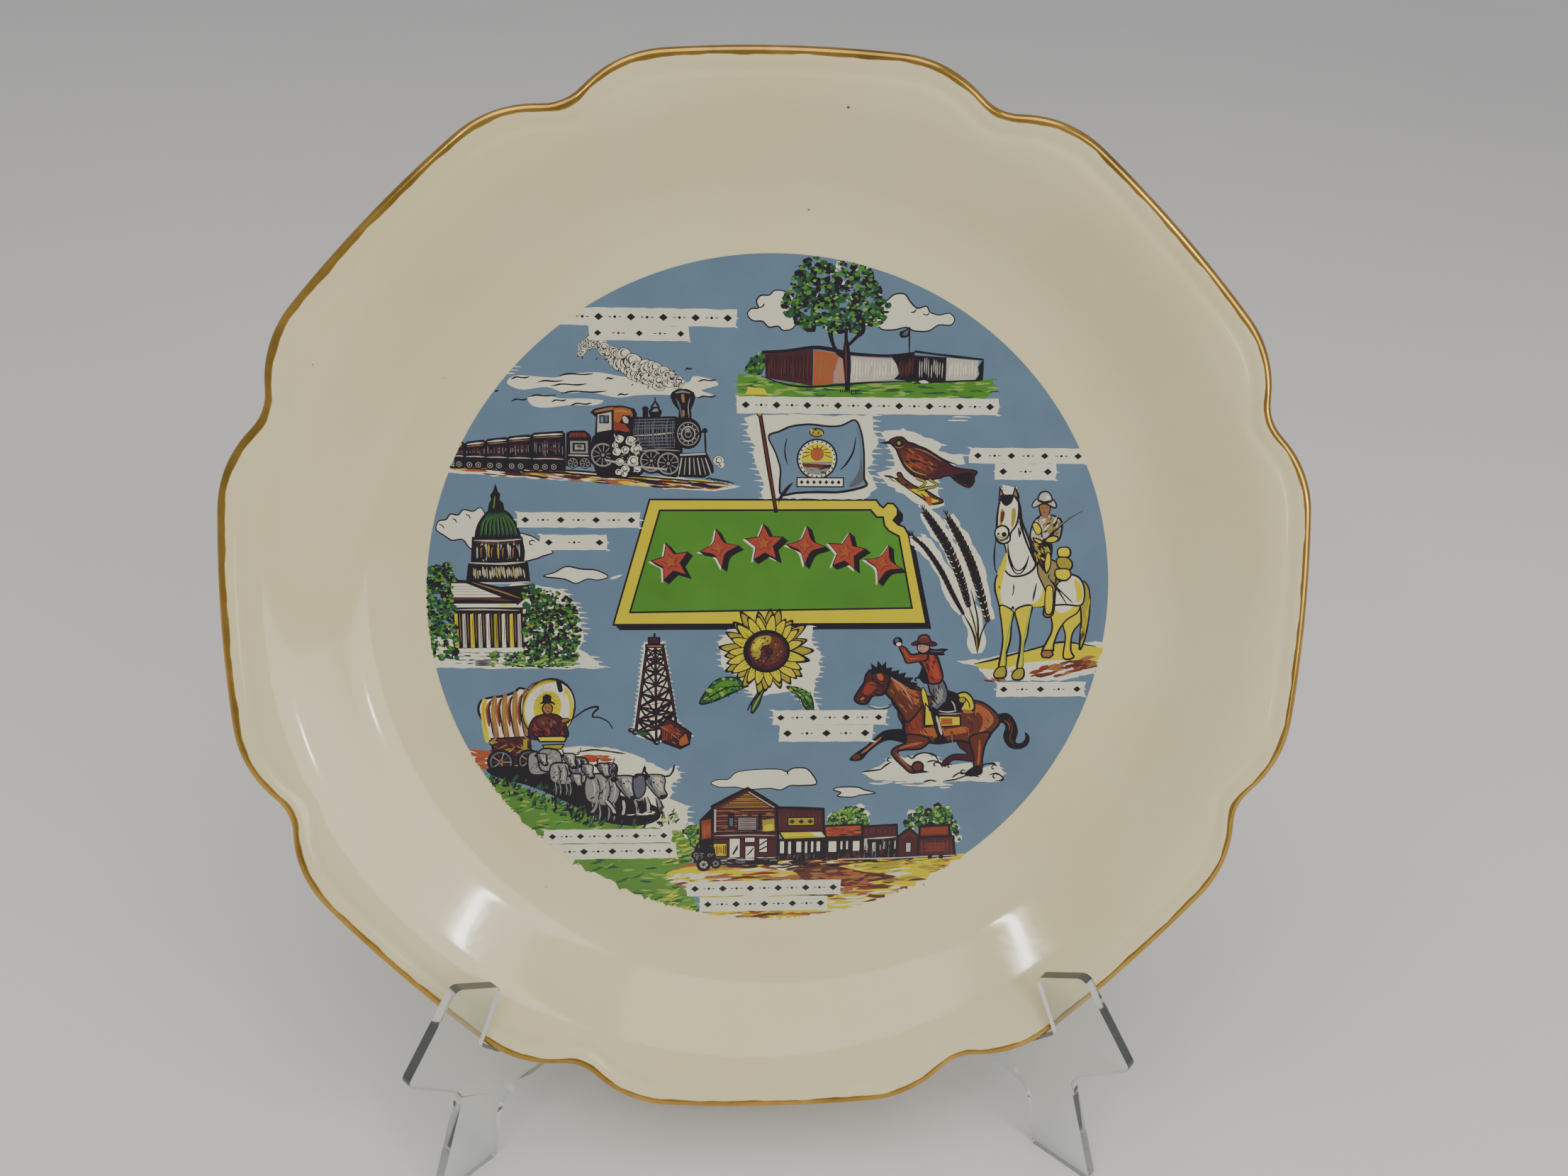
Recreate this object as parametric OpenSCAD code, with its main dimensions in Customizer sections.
// Souvenir plate with a scalloped gilt edge and a printed centre,
// standing on a clear folding easel of two hinged wings.
// Frame: +Z up, the plate faces -Y, origin on the table under the middle of the object. Millimetres.

/* [Plate] */
// Overall size across the widest points of the scalloped edge
plate_d = 235; // [220:1:250]
// Radius of the flat well
well_r = 80; // [78:1:84]
// Steepness of the wall between the well and the lip
wall_slope = 36.3; // [30:0.1:42]
// Thickness of the ceramic under the well
base_t = 4.2; // [3:0.1:6]
// Thickness of the ceramic at the lip
lip_t = 3.2; // [2.5:0.1:4.5]
// Height of the foot ring below the underside
foot_h = 2; // [1.5:0.1:3]
// Outer radius of the foot ring
foot_r = 71; // [62:1:74]

/* [Scalloped edge] */
// Number of lobes round the edge
lobes = 8; // [7:1:10]
// How far a notch lies inside the widest points
notch_depth = 4.3; // [3:0.1:6]
// How far the middle of a lobe lies inside the widest points
lobe_flat = 1.9; // [1:0.1:2.5]
// Radius of the hollow of a notch
notch_r = 11; // [8:1:14]
// Radius of the shoulder beside a notch
shoulder_r = 26; // [20:1:30]

/* [Print] */
// Radius of the printed picture
print_r = 76; // [72:1:77]
// Thickness of one layer of fired enamel
enamel_t = 0.06; // [0.04:0.01:0.2]
// Width of the gilt band on the edge of the rim
gilt_w = 2.4; // [1:0.1:3]
// Thickness of the gilt band
gilt_t = 0.12; // [0.05:0.01:0.3]

/* [Easel] */
// Angle that the plate leans back
lean = 18; // [17:0.5:19]
// Angle between each wing and straight ahead
wing_angle = 45; // [44:0.5:46]
// Thickness of the plastic sheet
sheet_t = 2.5; // [2:0.1:3]
// Height of the wings at the hinge
easel_h = 134; // [131:1:135]
// Radius of the hinge pin
pin_r = 1.5; // [1.2:0.1:2]
// Running clearance round the hinge pin
pin_gap = 0.05; // [0.02:0.01:0.1]

/* [Hidden] */

// Where the middle of the plate's rim and the hinge stand above the table
rim_centre = [0, -0.33, 129.3];
hinge_y = 32.25;

// The wall's section: a cove out of the well, a straight slope, and a flare into the flat lip
cove_r = 22;
flare_r = 24;
lip_slope = 9;
lip_w = 4;
wall_steps = 6;
rim_r = plate_d / 2;
trim_r = rim_r + 2;

// The scalloped edge is made of arcs that run into each other
edge_r = rim_r - gilt_t;
lobe_half = 180 / lobes;
lobe_r = 280;

// The hinge: the barrels of one wing stand between those of the other
barrel_r = 3.3;
barrel_h = 18;
barrel_gap = 0.4;
left_barrels = [12, 92];
right_barrels = [for (z = left_barrels) z + barrel_h + barrel_gap];
spine_x = 4.4;
sheet_gap = 0.15;
pin_head_r = 2.8;
pin_head_h = 1.6;
pin_head_gap = 0.2;

// Points along an arc, both ends included
function arc(centre, r, from, to, steps) =
    [for (i = [0:steps]) let (a = from + (to - from) * i / steps) centre + r * [cos(a), sin(a)]];

// The point where two circles meet, on the right of the way from a to b
function circles_meet(a, ra, b, rb) =
    let (d = norm(b - a), u = (b - a) / d, along = (ra * ra - rb * rb + d * d) / (2 * d),
         across = sqrt(ra * ra - along * along))
    a + along * u + across * [u[1], -u[0]];

// Half a lobe of the edge, grown by g: from the lobe's middle, on the +X axis, to the notch's middle
function half_lobe(g) =
    let (lobe_c = [edge_r - lobe_flat - lobe_r, 0],
         notch_c = (edge_r - notch_depth + notch_r) * [cos(lobe_half), sin(lobe_half)],
         shoulder_c = circles_meet(lobe_c, lobe_r - shoulder_r, notch_c, notch_r + shoulder_r),
         up = shoulder_c - lobe_c, over = shoulder_c - notch_c,
         a_lobe = atan2(up[1], up[0]), a_notch = atan2(over[1], over[0]) + 360)
    concat(
        arc(lobe_c, lobe_r + g, 0, a_lobe, 3),
        arc(shoulder_c, shoulder_r + g, a_lobe, a_notch - 180, 8),
        arc(notch_c, notch_r - g, a_notch, 180 + lobe_half, 4));

function turned(p, a) = [p[0] * cos(a) - p[1] * sin(a), p[0] * sin(a) + p[1] * cos(a)];

// The whole edge. Arcs share their end points, so each repeated point is left out.
function edge_points(g) =
    let (half = half_lobe(g), last = len(half) - 1,
         lobe = concat([for (i = [last:-1:1]) [half[i][0], -half[i][1]]], half),
         ring = [for (k = [0:lobes - 1], p = lobe) turned(p, 360 / lobes * k)],
         n = len(ring))
    [for (i = [0:n - 1]) if (norm(ring[i] - ring[(i + 1) % n]) > 0.01) ring[i]];

// A closed outline with rounded corners. Each corner is [x, y, radius].
function rounded(corners, steps = 6) =
    let (n = len(corners))
    [for (i = [0:n - 1])
        let (p = [corners[i][0], corners[i][1]],
             a = [corners[(i + n - 1) % n][0], corners[(i + n - 1) % n][1]],
             b = [corners[(i + 1) % n][0], corners[(i + 1) % n][1]],
             u = (a - p) / norm(a - p), v = (b - p) / norm(b - p),
             half = acos(u * v) / 2, r = corners[i][2],
             centre = p + (u + v) / norm(u + v) * r / sin(half),
             s = p + u * r / tan(half) - centre, e = p + v * r / tan(half) - centre,
             a0 = atan2(s[1], s[0]), turn = atan2(e[1], e[0]) - a0,
             sweep = turn > 180 ? turn - 360 : turn < -180 ? turn + 360 : turn)
        each arc(centre, r, a0, a0 + sweep, steps)];

// The wall's upper surface as rows of [radius, height above the well, slope]
cove_end = well_r + cove_r * sin(wall_slope);
flare_end = rim_r - lip_w;
flare_start = flare_end - flare_r * (sin(wall_slope) - sin(lip_slope));
cove_top = cove_r * (1 - cos(wall_slope));
flare_low = cove_top + (flare_start - cove_end) * tan(wall_slope);
flare_top = flare_low + flare_r * (cos(lip_slope) - cos(wall_slope));
well_depth = flare_top + lip_w * tan(lip_slope);
wall = concat(
    [for (i = [0:wall_steps]) let (s = wall_slope * i / wall_steps)
        [well_r + cove_r * sin(s), cove_r * (1 - cos(s)), s]],
    [for (i = [0:wall_steps]) let (s = wall_slope + (lip_slope - wall_slope) * i / wall_steps)
        [flare_start + flare_r * (sin(wall_slope) - sin(s)), flare_low + flare_r * (cos(s) - cos(wall_slope)), s]],
    [[trim_r, flare_top + (trim_r - flare_end) * tan(lip_slope), lip_slope]]);

// The same rows moved down into the ceramic, which thins from the base to the lip
function under_wall() =
    [for (i = [len(wall) - 1:-1:0])
        let (t = base_t + (lip_t - base_t) * i / (len(wall) - 1), s = wall[i][2])
        [wall[i][0] + t * sin(s), wall[i][1] - t * cos(s)]];

module plate_section() {
    polygon(concat(
        [[0, 0]],
        [for (row = wall) [row[0], row[1]]],
        under_wall(),
        [[foot_r + 1.2, -base_t], [foot_r, -base_t - foot_h]],
        [[foot_r - 3.4, -base_t - foot_h], [foot_r - 5.2, -base_t], [0, -base_t]]));
}

// Puts what is drawn lying flat, with the well at height 0, into the leaning plate's place
module plate_frame() {
    translate(rim_centre)
        rotate([90 - lean, 0, 0])
            translate([0, 0, -well_depth])
                children();
}

module plate_body() {
    color("ivory")
        plate_frame()
            intersection() {
                rotate_extrude($fn = 180) plate_section();
                translate([0, 0, -2 * well_depth]) linear_extrude(4 * well_depth) polygon(edge_points(0));
            }
}

module gilt_edge() {
    color("goldenrod")
        plate_frame()
            intersection() {
                rotate_extrude($fn = 180) plate_section();
                translate([0, 0, well_depth - gilt_w])
                    linear_extrude(2 * gilt_w)
                        difference() {
                            polygon(edge_points(gilt_t));
                            polygon(edge_points(0));
                        }
            }
}

// Enamel of layer 0 lies on the glaze and that of layer 1 on layer 0
module enamel(layer) {
    plate_frame()
        translate([0, 0, layer * enamel_t])
            linear_extrude(enamel_t)
                children();
}

// One picture's patch. It stops just inside the edge of the printed circle.
module print_patch(points) {
    enamel(1)
        intersection() {
            polygon(points);
            circle(print_r - 0.3, $fn = 120);
        }
}

module cloud(x, y, w, h) {
    translate([x, y]) {
        square([w - h, h], center = true);
        for (side = [-1, 1]) translate([side * (w - h) / 2, 0]) circle(h / 2, $fn = 24);
        translate([-w / 8, h / 3]) circle(h / 2, $fn = 24);
    }
}

module panel(low, high) {
    translate(low) square(high - low);
}

module print_sky() {
    color("steelblue") enamel(0) circle(print_r, $fn = 180);
}

module print_ground() {
    color("forestgreen")
        print_patch([[-71, -36], [-64, -41], [-56, -44.5], [-53.6, -53.2], [-51.6, -53.2], [-51.6, -61.4],
                     [-21.6, -61.4], [-21.6, -67], [-19.8, -67], [-19.8, -90], [-40, -90], [-80, -60]]);
}

module print_clouds() {
    color("white")
        enamel(1) {
            cloud(-43.3, 6.3, 14, 3.6);
            cloud(-1.5, -41.6, 22, 3.6);
            cloud(19.6, -45, 9.4, 2);
        }
}

module print_locomotive() {
    color("dimgray")
        print_patch([[-70, 32], [-69, 29], [-40, 27.6], [-8, 25.6], [-8, 33], [-14, 40], [-11, 48],
                     [-22, 52], [-40, 58.5], [-44, 55], [-38, 51.6], [-60, 49], [-60, 43.6], [-42, 43.8],
                     [-42, 40], [-68, 36]]);
}

module print_museum() {
    color("sienna")
        print_patch([[-8, 47], [48, 47], [47, 56.5], [38, 61], [27, 66], [23, 73], [14, 76], [4, 76],
                     [0, 69], [-7, 64], [-3, 60], [-7, 54]]);
}

module print_capitol() {
    color("darkolivegreen")
        print_patch([[-77, 8], [-71, 9], [-70, 14], [-74, 17], [-66, 20.4], [-61, 27], [-57, 20.4],
                     [-56.4, 11.6], [-47, 11.4], [-53, 9.2], [-52, 4], [-43, 1], [-42, -8], [-41, -15],
                     [-74, -15.4]]);
}

module print_flag() {
    color("lightsteelblue")
        print_patch([[-1.4, 23.8], [20.6, 24.2], [21.4, 30], [20, 41.4], [-4.6, 42.2]]);
}

module print_map() {
    color("green")
        print_patch([[-35.6, -6.2], [-9, -6.2], [10, -6.2], [36.2, -6], [28, 19], [27.5, 23.4], [-27.6, 23.4]]);
}

module print_bird() {
    color("saddlebrown")
        print_patch([[23, 36.6], [28, 38], [34, 35.4], [42.6, 31], [45.6, 30.6], [44.6, 26], [38.4, 26],
                     [37, 22], [24, 28.4], [27, 33]]);
}

module print_wheat() {
    color("darkkhaki")
        print_patch([[31, 15], [33, 21], [39.6, 20], [44.8, 7.4], [49.4, -3], [47.6, -11.8], [45.6, -11],
                     [40.6, 0]]);
}

module print_trooper() {
    color("khaki")
        print_patch([[45.6, -14.8], [49.8, -12.4], [50.4, -4], [48.6, 6], [48.4, 20], [50, 26.8], [54, 26.8],
                     [58, 22], [61, 26], [68, 21.4], [69.6, 4], [71, -8], [75, -11], [73.4, -17.6],
                     [52, -17.8]]);
}

module print_sunflower() {
    color("gold")
        print_patch([[-10, -6.8], [9, -6.8], [11.4, -12], [10, -24.4], [4, -21.6], [-3.4, -25.8],
                     [-16, -24], [-11.6, -15.6]]);
}

module print_derrick() {
    color("rosybrown")
        print_patch([[-28.8, -8.2], [-24, -8.2], [-21.4, -27], [-18, -31], [-19.6, -34], [-26, -34],
                     [-31.6, -31]]);
}

module print_wagon() {
    color("tan")
        print_patch([[-65.6, -22], [-59, -19.6], [-52, -17], [-45, -18], [-43, -24], [-36, -23.4],
                     [-35.4, -28.6], [-43, -31], [-34, -35], [-22, -39], [-21.4, -44], [-22.6, -52.6],
                     [-53, -52.6], [-55.4, -43.6], [-63.4, -39.6], [-69, -35.6]]);
}

module print_rider() {
    color("brown")
        print_patch([[18.6, -38], [23, -34.6], [27, -31], [27, -24.2], [18.6, -22.6], [20, -15], [28, -15.8],
                     [26.8, -9], [32, -7.4], [40, -8.6], [41, -20], [58, -26], [60, -34.4], [52, -35.6],
                     [55, -42.4], [20.6, -41]]);
}

module print_town() {
    color("firebrick")
        print_patch([[-19.4, -51], [-6, -44], [6, -48], [14, -49.6], [18, -47.4], [30, -50.6], [38, -47.4],
                     [44.6, -51], [45, -60.6], [18, -65], [-17.4, -65.6], [-20, -60]]);
}

// Caption panels, left blank
module print_labels() {
    color("whitesmoke")
        enamel(1)
            intersection() {
                circle(print_r - 0.3, $fn = 120);
                union() {
                    panel([-46.4, 60.4], [-8.6, 64.2]);
                    panel([-39.8, 58.6], [-18.6, 60.4]);
                    panel([-8.2, 42.6], [48.6, 46.6]);
                    panel([43, 32], [69, 35.6]);
                    panel([48.6, 28.4], [62.4, 32]);
                    panel([51.6, -22.4], [72.6, -18.2]);
                    panel([-56, 17.2], [-29.4, 20.6]);
                    panel([-54, 12.2], [-36.4, 15.6]);
                    panel([-0.4, -29.2], [26.4, -25]);
                    panel([1.8, -33.2], [23, -29.2]);
                    panel([-51.2, -61], [-22, -53]);
                    panel([-19.2, -70.4], [17.2, -66.2]);
                    panel([-16.4, -74.2], [14.6, -70.4]);
                }
            }
}

// One wing in its own plane: x runs from the hinge towards the front foot, y is height
module wing_outline() {
    polygon(rounded([
        [spine_x, 0, 0.8],
        [20, 0, 1.2],
        [25, 19.5, 14],
        [87.2, 17.6, 7],
        [90.2, 0, 0.8],
        [106.8, 0, 1.2],
        [97, 27.4, 3.5],
        [110.5, 40.8, 2],
        [95.6, 58.6, 2],
        [84.2, 50.8, 2],
        [91.2, 37.6, 1],
        [86.3, 31.8, 1],
        [79, 32.4, 3],
        [38, 29.4, 28],
        [14, 60, 60],
        [11.2, easel_h, 2],
        [spine_x, easel_h, 2],
    ]));
}

// A barrel of the hinge and the leaf that joins it to the sheet
module barrel() {
    cylinder(r = barrel_r, h = barrel_h, $fn = 64);
    translate([0, sheet_gap, 0]) cube([spine_x + 2, sheet_t, barrel_h]);
}

// The right wing. Its sheet lies on the outer side of the hinge's axis, so that the wings fold flat.
module wing(barrels) {
    translate([0, hinge_y, 0])
        rotate([0, 0, wing_angle - 90])
            difference() {
                union() {
                    translate([0, sheet_gap + sheet_t, 0])
                        rotate([90, 0, 0])
                            linear_extrude(sheet_t) wing_outline();
                    for (z = barrels) translate([0, 0, z]) barrel();
                }
                for (z = barrels)
                    translate([0, 0, z - 1]) cylinder(r = pin_r + pin_gap, h = barrel_h + 2, $fn = 48);
            }
}

module easel_wing_left() {
    color("lightcyan") mirror([1, 0, 0]) wing(left_barrels);
}

module easel_wing_right() {
    color("lightcyan") wing(right_barrels);
}

module hinge_pin() {
    low = left_barrels[0] - pin_head_gap;
    high = right_barrels[1] + barrel_h + pin_head_gap;
    color("azure")
        translate([0, hinge_y, 0]) {
            translate([0, 0, low - pin_head_h]) cylinder(r = pin_head_r, h = pin_head_h, $fn = 48);
            translate([0, 0, low - pin_head_h]) cylinder(r = pin_r, h = high - low + 2 * pin_head_h, $fn = 48);
            translate([0, 0, high]) cylinder(r = pin_head_r, h = pin_head_h, $fn = 48);
        }
}

plate_body();
gilt_edge();
print_sky();
print_ground();
print_clouds();
print_locomotive();
print_museum();
print_capitol();
print_flag();
print_map();
print_bird();
print_wheat();
print_trooper();
print_sunflower();
print_derrick();
print_wagon();
print_rider();
print_town();
print_labels();
easel_wing_left();
easel_wing_right();
hinge_pin();
